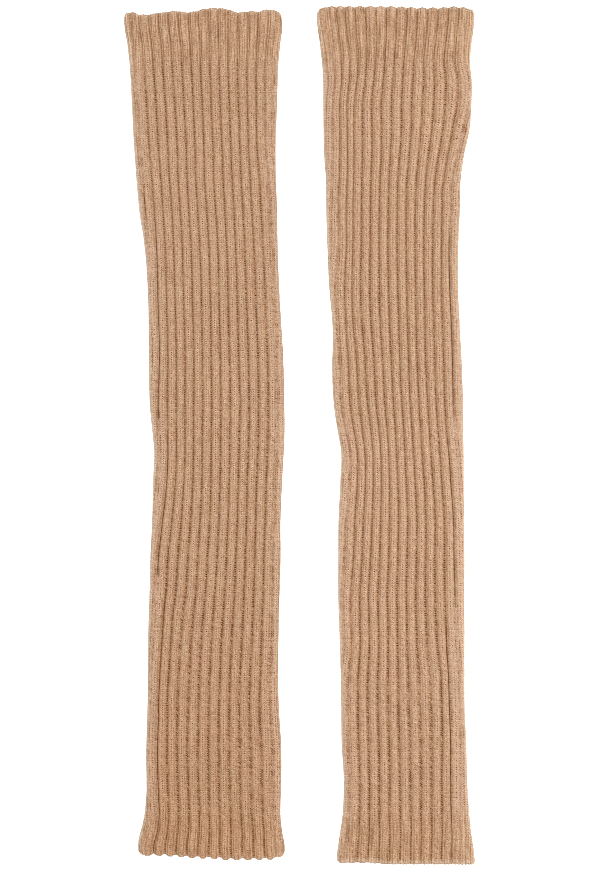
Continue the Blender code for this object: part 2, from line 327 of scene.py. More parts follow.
def folded(section, run):
    """The place (x, z) and outward normal (out_x, out_z) of the smooth pressed tube at each run."""
    left, right = section.left, section.right
    top = section.anchor - (left + FOLD_RADIUS)
    flat = right - left - 2 * FOLD_RADIUS
    bend = math.pi * FOLD_RADIUS
    run = np.mod(run, 2 * (flat + bend))
    at_left = run - top
    under = at_left - bend
    at_right = under - flat
    over = at_right - bend
    turn = np.where(at_right > 0, math.pi + at_right / FOLD_RADIUS, at_left / FOLD_RADIUS)
    turn = np.where((at_left <= 0) | (over > 0), 0.0, turn)
    turn = np.where((under > 0) & (at_right <= 0), math.pi, turn)
    out_x, out_z = -np.sin(turn), np.cos(turn)
    x = np.where(at_left <= 0, section.anchor - run, left + FOLD_RADIUS * (1 + out_x))
    x = np.where(under > 0, left + FOLD_RADIUS + under, x)
    x = np.where(at_right > 0, right + FOLD_RADIUS * (out_x - 1), x)
    x = np.where(over > 0, right - FOLD_RADIUS - over, x)
    return x, FOLD_RADIUS * (1 + out_z), out_x, out_z


# %% [markdown]
# ## One rib, one stitch
#
# A rib is two columns of V-shaped stitches side by side, and a groove of purl stitches that hides
# behind them. In relaxed knit the two columns keep their width, and the groove takes whatever room
# is left: where the cloth is stretched the grooves open, and the rib itself stays the same. So each
# rib gets seven lines of points whose places come from that fixed width. Two rows of points make
# one row of stitches, a crest and a dip. Points on the crown of a stitch column are moved down the
# cloth and points at its sides up, so that the crests run in the two slanted legs of a V.

# %% The stitches
COURSE = 1.355                      # one row of stitches
SLEEVE_PAIR, UPPER_PAIR, WRIST_PAIR = 3.3, 4.0, 4.2     # the width of the two stitch columns
NARROW_GROOVE = 0.43                # the most that half a pair takes of a rib
PAIR_CHANGE = 5.0                   # how far a change of knit reaches to either side of it
CLOSE_CHANGE = 7.0                  # the same for how tightly it is knitted
WRIST_CLOSED = 0.75                 # how tight the wrist band is, where the upper band is 1
V_SLANT = 0.42                      # how far a crown is moved down, and a side up

# seat: the place in the pair, from its middle (0) to its side (1), or in the groove for a foot.
# u: the place in the pattern of one rib. slant: up (1) or down (-1). crest, dip: the depth there.
RibLine = namedtuple("RibLine", "name seat u slant crest dip")
RIB_LINES = (
    RibLine("foot", -0.26, 0.08, 0.0, 1.45, 1.15),
    RibLine("side", -1.0, 0.20, 1.0, 0.50, 0.68),
    RibLine("crown", -0.5, 0.35, -1.0, 0.0, 0.12),
    RibLine("gap", 0.0, 0.50, 1.0, 0.10, 0.42),
    RibLine("crown", 0.5, 0.65, -1.0, 0.0, 0.12),
    RibLine("side", 1.0, 0.80, 1.0, 0.50, 0.68),
    RibLine("foot", 0.26, 0.92, 0.0, 1.45, 1.15),
)
# Under the cloth, where it is pressed on the table, a rib needs only four lines.
UNDER_LINES = (
    RibLine("foot", 0.0, 0.0, 0.0, 0.62, 0.62),
    RibLine("crown", -0.5, 0.35, -1.0, 0.0, 0.0),
    RibLine("gap", 0.0, 0.50, 1.0, 0.10, 0.10),
    RibLine("crown", 0.5, 0.65, -1.0, 0.0, 0.0),
)
RIB_START = 0.20                    # the u of the first line of a rib itself, past its groove
UNDER_SHOWS = 0.6                   # how much rib relief the back layer has
GROOVE_HALF = 1.0                   # half the width of a relaxed groove
SPREAD_LOSS, MOST_LOSS = 1.3, 0.42  # how soon and how far a groove that lies open loses its depth
FLAT_FLOOR = 0.34                   # how much further apart its feet then are
PLAIN_DEPTH = 0.16                  # between two stitch columns where the knit is opened flat
CROWN_PLAIN = 0.4                   # the share of it that a row's crest sinks
CREASE_DEPTH = 1.55
CREASE_NARROW = 2.5                 # how soon a groove beside the crease is an ordinary one
CREASE_SIDE = 0.425                 # where its two walls start, in ribs from the middle of a rib
CREASE_FOOT, CREASE_WALL = 0.75, 0.6    # how much narrower its floor is, and shallower its walls
FOLD_EASE, FOLD_REACH = 0.85, 11.0  # how much and how far from a fold the grooves are drawn flat
PARTING = 0.32                      # how much deeper it sinks between a rib's columns at the wrist
PARTING_FROM, PARTING_OVER = -60.0, 160.0

# %% [markdown]
# Hands laid the cloth out, and it shows. Some grooves were tugged off their even places, one was
# pulled wide open by the flare, and high on the right warmer the pull widened the ribs and not the
# grooves between them. Each of these is a named tuple: which warmer, where along it, how far it
# reaches and what it does there.

# %% Where the cloth is pulled
Tug = namedtuple("Tug", "side along reach ribs shifts")
TUG_HOLD = 2.5
TUGS = (
    Tug("right", 128, 85, (4, 5, 6, 7, 8, 9, 10), (0, 0.25, 0.45, 0.75, 1.15, 1.25, 0)),
    Tug("right", 163, 32, (-4, -2, -1, 0), (1.0, 1.0, 0.7, 0)),
    Tug("right", 250, 24, (6, 7, 8, 9, 10, 11), (0, 0.2, 0.7, 0.9, 1.0, 0)),
    Tug("left", -130, 40, (8, 9, 10, 11, 12), (0, 0.5, 0.5, 0.4, 0)),
)
ALL_TUGGED = 0.2                    # how far all of them lie to the left of the CAD's

# wider: how far each wall moves away. seat: how far apart the feet lie then, from 0 to 1.
# shallower, plainer: the share of its depth and of its look as a groove that it loses.
OpenGroove = namedtuple("OpenGroove", "side groove along reach hold seat wider shallower plainer")
OPEN_GROOVE = OpenGroove("left", 14, 252, 42, 1.6, 0.8, 0.8, 0.3, 0.45)

# share: how much of a rib's width past from_pitch its two stitch columns take.
StretchedRibs = namedtuple("StretchedRibs", "side along reach hold from_pitch share")
STRETCHED = StretchedRibs("right", 192, 52, 1.8, 5.3, 0.85)


def stretched(warmer, section, pitch):
    """How much wider the two stitch columns of a rib are where the pull has widened them."""
    if warmer.side != STRETCHED.side:
        return 0.0
    here = near(section, STRETCHED.along, STRETCHED.reach, STRETCHED.hold)
    return here * STRETCHED.share * np.maximum(pitch - STRETCHED.from_pitch, 0)


def opened(warmer, section, groove):
    """From 0 where a groove lies as the others do to 1 where it lies wide open."""
    if (warmer.side, groove) != (OPEN_GROOVE.side, OPEN_GROOVE.groove):
        return np.zeros_like(section.along)
    return near(section, OPEN_GROOVE.along, OPEN_GROOVE.reach, OPEN_GROOVE.hold)


def run_at(warmer, section, ribs):
    """How far round the tube a place lies that is this many ribs leftwards from groove 0."""
    run = ribs * (section.pitch - section.gather * ribs) + ALL_TUGGED
    for tug in TUGS:
        if tug.side == warmer.side:
            here = near(section, tug.along, tug.reach, TUG_HOLD)
            run = run + np.interp(ribs, tug.ribs, tug.shifts) * here
    if warmer.side == "left":
        return run - section.nip * clamp(ribs - section.crease + 1)
    return run + section.nip * clamp(section.crease + 1 - ribs)


def upper_share(along, change=CLOSE_CHANGE):
    """From 0 on the sleeve to 1 on the upper band."""
    return smooth((along - UPPER_BAND_AT + change) / (2 * change))


def wrist_share(along, change=CLOSE_CHANGE):
    """From 0 on the sleeve to 1 on the wrist band."""
    return smooth((WRIST_BAND_AT + change - along) / (2 * change))


def pair_width(along):
    """The width of the two stitch columns of a rib, which the bands knit wider."""
    return (
        SLEEVE_PAIR
        + (UPPER_PAIR - SLEEVE_PAIR) * upper_share(along, PAIR_CHANGE)
        + (WRIST_PAIR - SLEEVE_PAIR) * wrist_share(along, PAIR_CHANGE)
    )


# %% [markdown]
# The outermost groove of each warmer is different. The rib beyond it is pulled round the fold and
# opened, so its groove is gone and plain stitch columns lie side by side, up to one sharp crease.
# Each line of points therefore also carries how much rib relief it has, from 1 to 0 where the knit
# is open, and how much of it is that crease.


# %% Lines of points round the tube
def lines_round(warmer, section):
    """For each line of points: its run, u, slant, crest, dip, relief and crease, row by row."""
    outwards = 1 if warmer.side == "left" else -1
    lines = []
    for rib in warmer.ribs:
        start, end = (run_at(warmer, section, groove) for groove in (rib, rib + 1))
        pitch = end - start
        past = [outwards * (groove - section.crease) for groove in (rib, rib + 1)]
        for line in RIB_LINES:
            is_foot, is_side = line.name == "foot", line.name == "side"
            here = clamp((line.u - RIB_START) / (1 - 2 * RIB_START))
            open_flat = between(*(clamp(p) for p in past), here)
            creased = between(*(clamp(1 - np.abs(p) * CREASE_NARROW) for p in past), here)
            wide_open = opened(warmer, section, rib if line.u < 0.5 else rib + 1)
            pair = pair_width(section.along) + stretched(warmer, section, pitch)
            half = between(np.minimum(pair / 2, NARROW_GROOVE * pitch), pitch / 3, open_flat)
            spread = clamp((pitch / 2 - half - GROOVE_HALF) * SPREAD_LOSS)
            grooved = (1 - open_flat) * (1 - MOST_LOSS * spread)
            slant = line.slant
            if is_foot:
                side = pitch / 2 - half + OPEN_GROOVE.wider * wide_open
                seat = (abs(line.seat) + FLAT_FLOOR * spread) * (1 - CREASE_FOOT * creased)
                seat = between(seat, OPEN_GROOVE.seat, wide_open)
                run = start + side * seat if line.seat < 0 else end - side * seat
                slant = between(slant, -1.0, open_flat)
                deep = grooved * (1 - OPEN_GROOVE.shallower * wide_open)
                crest, dip = (
                    between(depth, CREASE_DEPTH, creased) * deep for depth in (line.crest, line.dip)
                )
            else:
                reach = between(half, CREASE_SIDE * pitch, creased * is_side)
                run = (start + end) / 2 + line.seat * (reach - OPEN_GROOVE.wider * wide_open)
                plain = 0.0 if line.name == "crown" else PLAIN_DEPTH
                parted = PARTING * smooth((PARTING_FROM - section.along) / PARTING_OVER)
                crest, dip = (
                    (between(depth, flat, open_flat) + parted * (line.name == "gap"))
                    * (1 - CREASE_WALL * creased * is_side)
                    for depth, flat in ((line.crest, CROWN_PLAIN * plain), (line.dip, plain))
                )
            x = section.anchor - run
            to_fold = np.minimum(x - section.left, section.right - x)
            eased = FOLD_EASE * smooth(1 - to_fold / FOLD_REACH) * (1 - creased) * (1 - wide_open)
            if is_foot or is_side:
                crest, dip = crest * (1 - eased), dip * (1 - eased)
            relief = grooved * (1 - eased) * (1 - OPEN_GROOVE.plainer * wide_open)
            lines.append((run, rib + line.u, slant, crest, dip, relief, creased * is_foot))
    return lines


def lines_under(warmer, section):
    """The same for the ribs of the back layer, which share what is left of the way round."""
    flat = section.right - section.left - 2 * FOLD_RADIUS
    way_round = 2 * (flat + math.pi * FOLD_RADIUS)
    first, last = warmer.ribs.start, warmer.ribs.stop
    start = run_at(warmer, section, last)
    pitch = (way_round + run_at(warmer, section, first) - start) / warmer.under_ribs
    lines = []
    for rib in range(warmer.under_ribs):
        half = np.minimum(pair_width(section.along) / 2, NARROW_GROOVE * pitch)
        for line in UNDER_LINES:
            seat = 0.0 if line.name == "foot" else pitch / 2 + line.seat * half
            run = start + rib * pitch + seat
            u = last + rib + line.u
            lines.append((run, u, line.slant, line.crest, line.dip, UNDER_SHOWS, 0.0))
    return lines


# %% [markdown]
# ## From lines to a knitted surface
#
# A tube's points now follow from its lines: fold the tube, then sink each point by its depth, along
# the outward normal. Two things keep it from looking like a machine part. The cloth rises and falls
# by a few tenths of a millimetre over a hand's width, and each stitch sits a little off its place.
# Both come from fixed numbers, so that every run makes the same cloth.

# %% Soft irregularity
Wave = namedtuple("Wave", "height across along phase")      # mm, then waves to the metre
SWELL = (
    Wave(0.10, 9.0, 5.0, 0.3), Wave(0.09, 21.0, 9.0, 1.9),
    Wave(0.07, 14.0, -17.0, 4.0), Wave(0.05, 38.0, 13.0, 2.2),
)
SWAY = 0.10                         # how far a rib wanders to the side
JITTER = 0.035                      # how far a stitch sits off its place


def swell(x, y):
    """The height of the cloth's own waves, in mm, for places in mm."""
    turns = (MM * (wave.across * x + wave.along * y) for wave in SWELL)
    return sum(
        wave.height * np.sin(2 * math.pi * turn + wave.phase) for wave, turn in zip(SWELL, turns)
    )


def wander(u, y, seed):
    """How far each line of points strays sideways as it runs down the warmer."""
    phase = np.random.default_rng(seed).uniform(0, 2 * math.pi, 2)
    slow = np.sin(y / 23.0 + u * 0.9 + phase[0])
    return SWAY * (slow + 0.6 * np.sin(y / 9.5 - u * 1.7 + phase[1]))


# %% The open edges' wave
def edge_short(edge, across):
    """How far an open edge falls short of the warmer's end, at places across it."""
    places, shorts = np.array(edge).T
    across = clamp(across)
    low = np.clip(np.searchsorted(places, across) - 1, 0, len(places) - 2)
    share = smooth((across - places[low]) / (places[low + 1] - places[low]))
    return between(shorts[low], shorts[low + 1], share)


# %% [markdown]
# Three more things change slowly over a warmer: how tightly it is knitted, how pale the loose
# fibres make it at the open edges, with painted light and sheen round the folds, and how much light
# the side lamp brings, which is painted into the colour. They can't come from the pattern, so every
# point carries them as marks, and the material reads those.

# %% The marks that points carry
MARKS = ("ribs", "rows", "relief", "crease", "closed", "pale_and_fold_light", "side light")
PALE_EDGE = 2.6                     # how far in from an open edge the yarn is paler
LEFT_FOLD_LIGHT, RIGHT_FOLD_LIGHT = 1.75, 0.55  # painted light and sheen round a fold facing left, away from the lamp, and right
FINISH_REACH, FINISH_HOLD, FINISH_PALE = 3.2, 1.6, 1.2     # the finished rows at the right wrist
LIGHTER_RIGHT, DARKER_LEFT = 0.055, 0.04        # towards and away from the side lamp, low down
SIDE_REACH, LOWER_FROM, LOWER_OVER = 17.0, 110.0, 130.0
PAINTED_SHEEN_LEFT, PAINTED_SHEEN_RIGHT = 0.16, 0.10  # painted sheen at a fold's outermost line
PAINTED_FOLD_SHADE = 0.13                    # painted shade that keeps the left warmer's right fold dark
LIGHTER_BELOW, LIGHTEST_AT, LIGHTEST_REACH = 0.03, -60, 130     # on the right warmer


def side_light(warmer, section, x, out_x):
    """How much lighter or darker each place is painted for where it lies in the light."""
    low = smooth((LOWER_FROM - section.along) / LOWER_OVER)
    light = LIGHTER_RIGHT * low * smooth(1 - (section.right - x) / SIDE_REACH)
    light = light + PAINTED_SHEEN_LEFT * smooth(-out_x)
    if warmer.side == "left":
        light = light - DARKER_LEFT * low * smooth(1 - (x - section.left) / SIDE_REACH)
        return light - PAINTED_FOLD_SHADE * smooth(out_x)
    light = light + LIGHTER_BELOW * near(section, LIGHTEST_AT, LIGHTEST_REACH)
    return light + PAINTED_SHEEN_RIGHT * smooth(out_x)


# %% Points of one layer of lines
TOP_RELIEF, SIDE_RELIEF, UNDER_RELIEF = 1.0, 0.45, 0.9
SIDE_UP_TO, BACK_UP_TO = 0.35, 0.5      # in shares of the height, as are the next two
TOP_FROM, TOP_OVER = 0.5, 0.45
OPEN_EDGE_ROWS = 3                  # rows of points that round off an open edge
OPEN_EDGE_SINK = 0.55
EDGE_UPRIGHT, FINISH_FLAT = 0.6, 0.7    # how much of the slant an edge loses, and of the depth
BACK_SHORT = 1.2                    # how far the back layer's edge stays behind the front one's
INSIDE_SHORT = 1.3                  # the same for the edge of the inside


def surface(warmer, along, every, lines_of, seed):
    """Places and marks of every so many rows of points, for one set of lines round the tube."""
    rows = np.arange(0, len(along), every)
    section = sections_at(warmer.sections, along[rows])
    lines = lines_of(warmer, section)
    shape = (len(rows), len(lines))
    run, u, slant, crest, dip, relief, crease = (
        np.column_stack([np.broadcast_to(np.ravel(value), shape[:1]) for value in column])
        for column in zip(*lines)
    )
    y = np.broadcast_to(section.along, shape)
    x, z, out_x, out_z = folded(section, run + wander(u, y, seed))
    height_share = z / HEIGHT
    strength = between(UNDER_RELIEF, SIDE_RELIEF, smooth(height_share / SIDE_UP_TO))
    to_top = smooth((height_share - TOP_FROM) / TOP_OVER)
    strength = strength + (TOP_RELIEF - SIDE_RELIEF) * to_top
    is_crest = (rows % 2 == 0)[:, None]

    # Towards an open edge the rows bend with its wave, and the last of them turn down.
    upper = section.along > 0
    band_at = np.where(upper, UPPER_BAND_AT, WRIST_BAND_AT)
    end_at = np.where(upper, warmer.sections[0].along, warmer.sections[-1].along)
    inwards = np.where(upper, -1.0, 1.0)
    to_end = clamp((section.along - band_at) / (end_at - band_at))
    across = (x - section.left) / (section.right - section.left)
    short = np.where(
        upper, edge_short(warmer.upper_edge, across), edge_short(warmer.wrist_edge, across)
    )
    from_end = (end_at - section.along) * -inwards
    at_end = smooth(1 - from_end / (OPEN_EDGE_ROWS * COURSE / 2))
    finished = smooth(FINISH_HOLD * (1 - from_end / FINISH_REACH))
    finished = finished * np.where(upper, 0, warmer.finish)
    scallop = np.where(upper, *warmer.scallops) * np.cos(math.pi * u) ** 2
    scallop = scallop * relief * smooth(to_end * 2 - 1)
    behind = BACK_SHORT * to_end * (1 - smooth(height_share / BACK_UP_TO))
    y = y + inwards * (short * to_end + scallop + behind)
    y = y + slant * V_SLANT * (1 - EDGE_UPRIGHT * at_end)
    sunk = np.where(is_crest, crest, dip) * strength * (1 - FINISH_FLAT * finished)
    sunk = sunk + OPEN_EDGE_SINK * at_end

    stray = np.random.default_rng(seed + 1).normal(0, JITTER, (3, *shape))
    ends = np.zeros(shape[0])[:, None]
    ends[1:-1] = 1
    x = x - out_x * sunk + stray[0] * ends * strength
    z = z - out_z * sunk + height_share * (swell(x, y) + stray[2] * ends)
    y = y + stray[1] * ends
    points = np.stack([x, y, np.maximum(z, 0)], axis=-1) * MM

    closed = upper_share(section.along) + WRIST_CLOSED * wrist_share(section.along)
    pale_and_fold_light = np.maximum(smooth(1 - from_end / PALE_EDGE), FINISH_PALE * finished)
    # Round the folds the colour is paler still: painted light and sheen, most where a fold faces
    # away from the lamp.
    pale_and_fold_light = np.maximum(pale_and_fold_light, LEFT_FOLD_LIGHT * smooth(-out_x) + RIGHT_FOLD_LIGHT * smooth(out_x))
    light = side_light(warmer, section, x, out_x)
    marks = np.broadcast_arrays(u, rows[:, None] / 2, relief, crease, closed, pale_and_fold_light, light)
    return points, np.stack(marks, axis=-1), (out_x, out_z)


# %% [markdown]
# The front of a warmer is what people see, so it has two rows of points to each row of stitches.
# The back and the inside have far fewer. Where the fine front meets the coarse back, low on the
# folds, four fine steps meet one coarse step, and a fan of triangles closes each of those places.
# The inside is a plain wall 2.3 mm in, and a rim joins it to the outside at both ends, so each
# piece is a closed solid, as thick as the real knit.

# %% Join rows of points
WALL = 2.3
COARSE_EVERY = 4                    # fine rows to one row of the back layer
INNER_EVERY = 16                    # fine rows to one row of the inside


def grid_faces(numbers):
    """Quads between neighbouring rows and columns of vertex numbers."""
    low, high = numbers[:-1], numbers[1:]
    quads = np.stack([low[:, :-1], high[:, :-1], high[:, 1:], low[:, 1:]], axis=-1)
    return quads.reshape(-1, 4)


def fan_faces(fine, coarse, fine_first):
    """Triangles between a fine and a coarse line of vertex numbers over the same stretch."""
    faces = []
    step = (len(fine) - 1) // (len(coarse) - 1)
    for i in range(len(coarse) - 1):
        low, high = coarse[i], coarse[i + 1]
        part = fine[i * step:(i + 1) * step + 1]
        middle = step // 2
        for j in range(step):
            faces.append((part[j], part[j + 1], low if j < middle else high))
        faces.append((part[middle], high, low))
    faces = np.array(faces)
    return faces if fine_first else faces[:, ::-1]


def rim_faces(outer, inner, stops, flip):
    """Triangles between the ring of outer vertex numbers and the sparser inner ring."""
    faces = []
    count = len(outer)
    for i in range(len(inner)):
        j = (i + 1) % len(inner)
        last = stops[j] if j else count
        middle = (stops[i] + last) // 2     # the foot of a groove: past it, the next rib's point
        for k in range(stops[i], last):
            faces.append((outer[k], outer[(k + 1) % count], inner[i] if k < middle else inner[j]))
        faces.append((inner[i], outer[middle], inner[j]))
    faces = np.array(faces)
    return faces[:, ::-1] if flip else faces


# %% Build one piece of a warmer
def build_tube(name, warmer, low, high, courses, seed, finish):
    """One closed knitted piece from one place along the warmer to another."""
    along = np.linspace(low, high, 2 * courses + 1)
    top, top_marks, top_out = surface(warmer, along, 1, lines_round, seed)
    under, under_marks, under_out = surface(warmer, along, COARSE_EVERY, lines_under, seed)

    # The inside: one line to a rib, sunk by the whole wall from the smooth pressed tube.
    inner_rows = np.append(np.arange(0, len(along) - INNER_EVERY // 2, INNER_EVERY), len(along) - 1)
    top_stops, under_stops = (
        [i for i in range(layer.shape[1]) if pattern[i % len(pattern)].name == "gap"]
        for layer, pattern in ((top, RIB_LINES), (under, UNDER_LINES))
    )
    inner = []
    for points, out, stops, every in (
        (top, top_out, top_stops, 1), (under, under_out, under_stops, COARSE_EVERY),
    ):
        x, y = np.moveaxis(points[inner_rows // every][:, stops, :2] / MM, -1, 0)
        out_x, out_z = (part[inner_rows // every][:, stops] for part in out)
        z = FOLD_RADIUS * (1 + out_z) - WALL * out_z
        inner.append(np.stack([x - WALL * out_x, y, z], axis=-1) * MM)
    inner = np.concatenate(inner, axis=1)
    if high == warmer.sections[0].along:
        inner[-1, :, 1] -= INSIDE_SHORT * MM
    if low == warmer.sections[-1].along:
        inner[0, :, 1] += INSIDE_SHORT * MM

    numbers, used = [], 0
    for block in (top, under, inner):
        rows, columns = block.shape[:2]
        numbers.append(used + np.arange(rows * columns).reshape(rows, columns))
        used += rows * columns
    top_n, under_n, inner_n = numbers
    round_inner = np.column_stack([inner_n, inner_n[:, :1]])
    quads = np.concatenate([
        grid_faces(top_n), grid_faces(under_n), grid_faces(round_inner)[:, ::-1],
    ])
    stops = top_stops + [top.shape[1] + i for i in under_stops]
    rims = []
    for row, flip in ((0, False), (-1, True)):
        ring = np.roll(np.append(top_n[row], under_n[row]), -stops[0])
        rims.append(rim_faces(ring, inner_n[row], [stop - stops[0] for stop in stops], flip))
    triangles = np.concatenate([
        fan_faces(top_n[:, -1], under_n[:, 0], True),
        fan_faces(top_n[:, 0], under_n[:, -1], False),
        *rims,
    ])
    rim_count = sum(len(rim) for rim in rims)

    places = np.concatenate([block.reshape(-1, 3) for block in (top, under, inner)])
    inner_marks = np.zeros((*inner.shape[:2], len(MARKS)))
    inner_marks[..., 0] = np.append(top_marks[0, top_stops, 0], under_marks[0, under_stops, 0])
    inner_marks[..., 1] = inner_rows[:, None] / 2
    inner_marks[..., 2] = UNDER_SHOWS
    marks = np.concatenate([
        block.reshape(-1, len(MARKS)) for block in (top_marks, under_marks, inner_marks)
    ])
    ribs_round = len(warmer.ribs) + warmer.under_ribs
    piece = knitted_mesh(name, places, quads, triangles, rim_count, marks, ribs_round, finish)
    joints = []
    if high != warmer.sections[0].along:
        joints.append((top_n[-1], top_n[-3]))
    if low != warmer.sections[-1].along:
        joints.append((top_n[0], top_n[2]))
    shade_joints(piece.data, joints)
    return piece


# %% [markdown]
# The mesh also carries the pattern's own coordinates. In the UV map "knit", one unit across is one
# rib and one unit up is one row of stitches, whatever the cloth's stretch is at that place. The
# materials draw from it, so the yarn's finest lines always sit on the right stitch.

# %% Make the mesh
def knitted_mesh(name, places, quads, triangles, rim_count, marks, ribs_round, finish):
    """A mesh object with its knit coordinates, its other marks and its material."""
    mesh = bpy.data.meshes.new(name)
    corners = np.concatenate([quads.ravel(), triangles.ravel()])
    sizes = np.append(np.full(len(quads), 4), np.full(len(triangles), 3))
    mesh.vertices.add(len(places))
    mesh.vertices.foreach_set("co", places.ravel())
    mesh.loops.add(len(corners))
    mesh.loops.foreach_set("vertex_index", corners)
    mesh.polygons.add(len(sizes))
    mesh.polygons.foreach_set("loop_start", np.cumsum(sizes) - sizes)
    mesh.update(calc_edges=True)
    mesh.validate()

    # Where the ribs' count comes round to its start, the pattern still runs on across a face.
    face_of = np.repeat(np.arange(len(sizes)), sizes)
    u = marks[corners, 0]
    highest = np.full(len(sizes), -np.inf)
    np.maximum.at(highest, face_of, u)
    u = np.where(highest[face_of] - u > ribs_round / 2, u + ribs_round, u)
    layer = mesh.uv_layers.new(name="knit")
    layer.data.foreach_set("uv", np.column_stack([u, marks[corners, 1]]).ravel())
    for index, mark in enumerate(MARKS[2:], start=2):
        attribute = mesh.attributes.new(mark, "FLOAT", "POINT")
        attribute.data.foreach_set("value", marks[:, index].astype(np.float32))

    mesh.materials.append(finish)
    mesh.polygons.foreach_set("use_smooth", np.arange(len(sizes)) < len(sizes) - rim_count)
    print(f"{name}: {2 * len(quads) + len(triangles)} triangles")
    return put_in_scene(name, mesh)


# %% [markdown]
# Where two pieces meet, each would shade its last row of stitches as if the cloth ended there, and
# a line would show across the warmer. One row of stitches further in the surface has the same
# slopes, so the last row borrows its normals from there. The rims keep their own.


# %% Shade across the joints
def shade_joints(mesh, joints):
    """Gives the vertices of each joint the normals of the row that is paired with it."""
    normals = np.empty(3 * len(mesh.vertices), dtype=np.float32)
    mesh.vertex_normals.foreach_get("vector", normals)
    normals = normals.reshape(-1, 3)
    for last, inside in joints:
        normals[last] = normals[inside]
    corners = np.empty(len(mesh.loops), dtype=np.int32)
    mesh.loops.foreach_get("vertex_index", corners)
    is_smooth = np.empty(len(mesh.polygons), dtype=bool)
    mesh.polygons.foreach_get("use_smooth", is_smooth)
    sizes = np.empty(len(mesh.polygons), dtype=np.int32)
    mesh.polygons.foreach_get("loop_total", sizes)
    mesh.normals_split_custom_set(normals[corners] * np.repeat(is_smooth, sizes)[:, None])


# %% [markdown]
# ## The yarn
#
# The yarn is a soft camel wool. On a crown it is a light tan; in a groove little light comes back
# out, and what does is redder, because it has met the yarn several times: that shade is painted
# into the groove's colour. Between the two columns of a rib a row of small dark holes shows, one to
# each stitch, and the shade inside each hole is painted as a dark spot. These marks follow the
# stitches, so they are drawn from the knit coordinates in one node group.
#
# Such a mark takes a dozen Math nodes, and made one by one they hide its idea. So a wire stands for
# a value that runs through a node tree, and plain arithmetic on wires adds the nodes.


# %% Arithmetic that makes nodes
class Wire:
    """A value in a node tree: a socket that other nodes can be fed from."""

    def __init__(self, tree, socket):
        self.tree, self.socket = tree, socket

    def __add__(self, other):
        return maths("ADD", self, other)

    def __sub__(self, other):
        return maths("SUBTRACT", self, other)

    def __rsub__(self, other):
        return maths("SUBTRACT", other, self)

    def __mul__(self, other):
        return maths("MULTIPLY", self, other)

    __radd__, __rmul__ = __add__, __mul__


def feed(socket, value):
    """Gives a socket a number or colour, or links it to a wire."""
    if isinstance(value, Wire):
        value.tree.links.new(value.socket, socket)
    else:
        socket.default_value = value


def tree_of(values):
    """The node tree of the first wire among some values."""
    return next(value.tree for value in values if isinstance(value, Wire))


def maths(operation, *values):
    """One step of arithmetic; each value is a number or a wire."""
    tree = tree_of(values)
    node = tree.nodes.new("ShaderNodeMath")
    node.operation = operation
    for socket, value in zip(node.inputs, values):
        feed(socket, value)
    return Wire(tree, node.outputs[0])


def at_least(value, least):
    return maths("MAXIMUM", value, least)


def soft_step(value, low, high):
    """A soft step from 0 at low to 1 at high. Where high is the lower of the two, it steps down."""
    node = value.tree.nodes.new("ShaderNodeMapRange")
    node.interpolation_type = "SMOOTHSTEP"
    for socket, given in (("Value", value), ("From Min", low), ("From Max", high)):
        feed(node.inputs[socket], given)
    return Wire(value.tree, node.outputs["Result"])


def line_at(across, place, fade):
    """A soft line: 1 at a place, and 0 from where it has faded out on either side."""
    return soft_step(maths("ABSOLUTE", across - place), fade, 0.0)


def mix_colours(share, first, second, blend="MIX"):
    """A mix of two colours, by a share from 0 to 1."""
    tree = tree_of((share, first, second))
    node = tree.nodes.new("ShaderNodeMix")
    node.data_type = "RGBA"
    node.blend_type = blend
    feed(node.inputs["Factor"], share)
    colour_inputs = [socket for socket in node.inputs if socket.type == "RGBA"]
    for socket, colour in zip(colour_inputs, (first, second)):
        feed(socket, colour)
    return Wire(tree, next(socket for socket in node.outputs if socket.type == "RGBA"))


def flat_place(x, y):
    """A place for a texture, from two wires."""
    node = x.tree.nodes.new("ShaderNodeCombineXYZ")
    feed(node.inputs["X"], x)
    feed(node.inputs["Y"], y)
    return Wire(x.tree, node.outputs["Vector"])


def two_of(vector):
    """The x and y of a vector, as two wires."""
    node = vector.tree.nodes.new("ShaderNodeSeparateXYZ")
    feed(node.inputs["Vector"], vector)
    return Wire(vector.tree, node.outputs["X"]), Wire(vector.tree, node.outputs["Y"])


def noise_at(place, scale=1.0, detail=0.0):
    """Soft noise at a place, round zero."""
    node = place.tree.nodes.new("ShaderNodeTexNoise")
    for socket, value in (("Vector", place), ("Scale", scale), ("Detail", detail)):
        feed(node.inputs[socket], value)
    return (Wire(place.tree, node.outputs[0]) - 0.5) * 2.0


# %% Node groups
def new_group(name, inputs, outputs):
    """A node group with named sockets; gives its tree, the wires of its inputs and its outputs."""
    group = bpy.data.node_groups.new(name, "ShaderNodeTree")
    for direction, names in (("INPUT", inputs), ("OUTPUT", outputs)):
        for socket in names:
            group.interface.new_socket(socket, in_out=direction, socket_type="NodeSocketFloat")
    entry = group.nodes.new("NodeGroupInput")
    wires = [Wire(group, entry.outputs[socket]) for socket in inputs]
    return group, wires, group.nodes.new("NodeGroupOutput").inputs


def placed(tree, group, values):
    """Puts a group in a tree and feeds it; gives the wires of its outputs by name."""
    node = tree.nodes.new("ShaderNodeGroup")
    node.node_tree = group
    for socket, value in values.items():
        feed(node.inputs[socket], value)
    return {socket.name: Wire(tree, socket) for socket in node.outputs}


# %% [markdown]
# Across a rib, u runs from 0 in one groove to 1 in the next. A row of stitches is a crest and a
# dip, so a cosine of the rows gives the legs, and one minus it the dips. Every mark is a product of
# where it lies across the rib and where it lies down the row. A groove is two columns of purl;
# where it lies open, they are seen to be half a row apart, and its pits are fainter.

